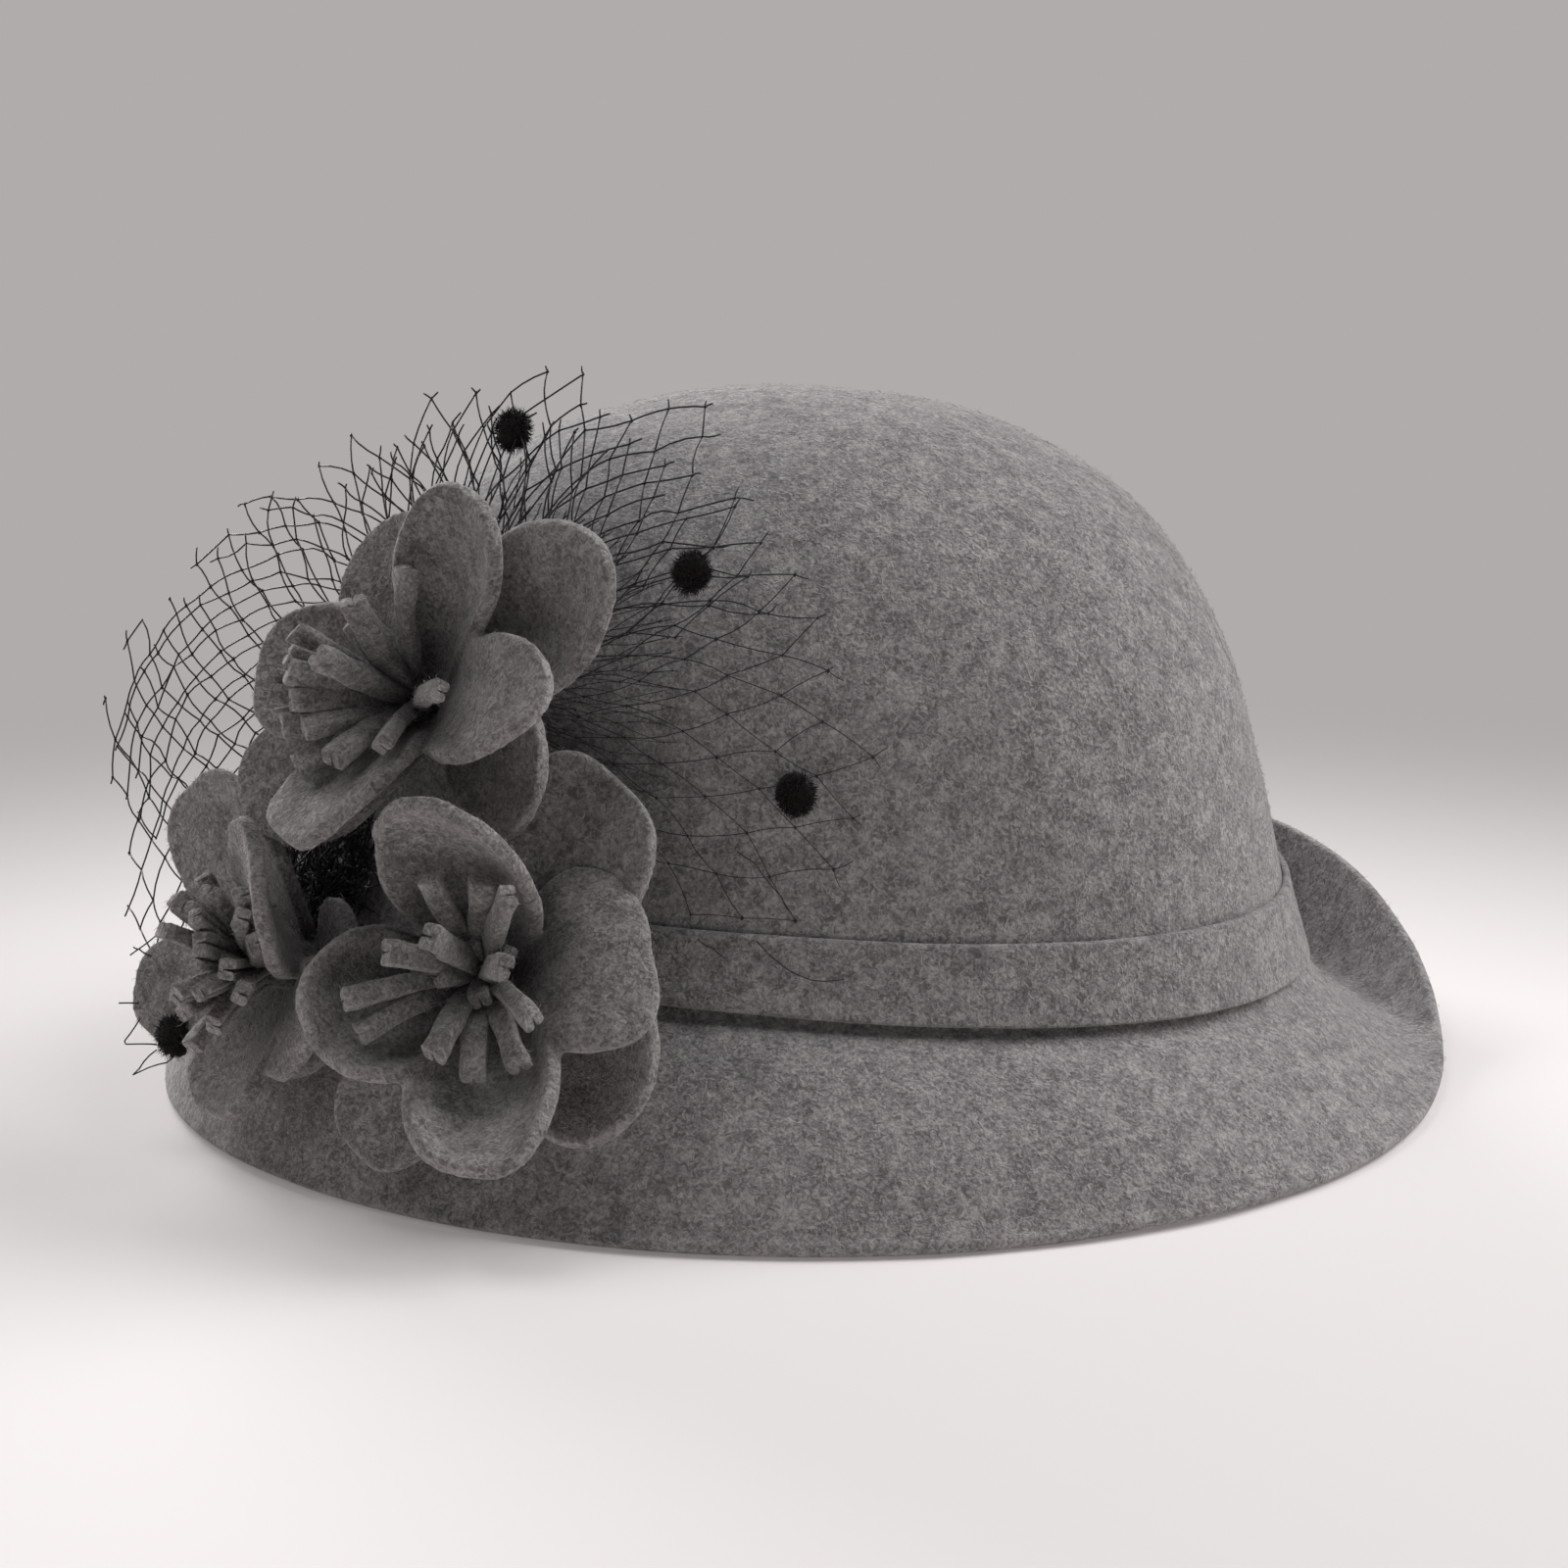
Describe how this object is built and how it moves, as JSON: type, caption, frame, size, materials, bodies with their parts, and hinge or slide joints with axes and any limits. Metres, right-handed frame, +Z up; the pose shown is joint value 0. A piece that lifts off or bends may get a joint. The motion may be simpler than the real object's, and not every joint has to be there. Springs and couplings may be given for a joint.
{
  "type": "felt cloche hat",
  "caption": "Grey marl wool felt cloche hat with a domed crown, a brim turned up at the back, a narrow band, felt flowers and a dotted net veil.",
  "frame": {"origin": "under the middle of the hat's outline, on the plane that the brim rests on", "axes": "+X towards the back of the hat, -Y towards the wearer's left, where the flowers are, +Z up"},
  "size_m": [0.264, 0.244, 0.1427],
  "materials": {
    "body_felt": "mid grey marl wool felt, brushed and matt",
    "band_felt": "the same grey marl felt, pressed flat",
    "flower_felt": "thick grey marl felt, cut and steamed, with soft fuzzy edges",
    "net": "black knotless diamond net, slightly shiny yarn",
    "chenille": "black-brown chenille pile"
  },
  "bodies": {
    "root": {"hat_body": "body_felt", "hat_band": "band_felt", "flower_lower_petals_front": "flower_felt", "flower_lower_petals_back": "flower_felt", "flower_lower_stamens": "flower_felt", "flower_upper_petals_front": "flower_felt", "flower_upper_petals_back": "flower_felt", "flower_upper_stamens": "flower_felt", "flower_front_petals_front": "flower_felt", "flower_front_petals_back": "flower_felt", "flower_front_stamens": "flower_felt", "veil_net": "net", "veil_dot_1": "chenille", "veil_dot_2": "chenille", "veil_dot_3": "chenille", "veil_dot_4": "chenille"}
  },
  "joints": []
}
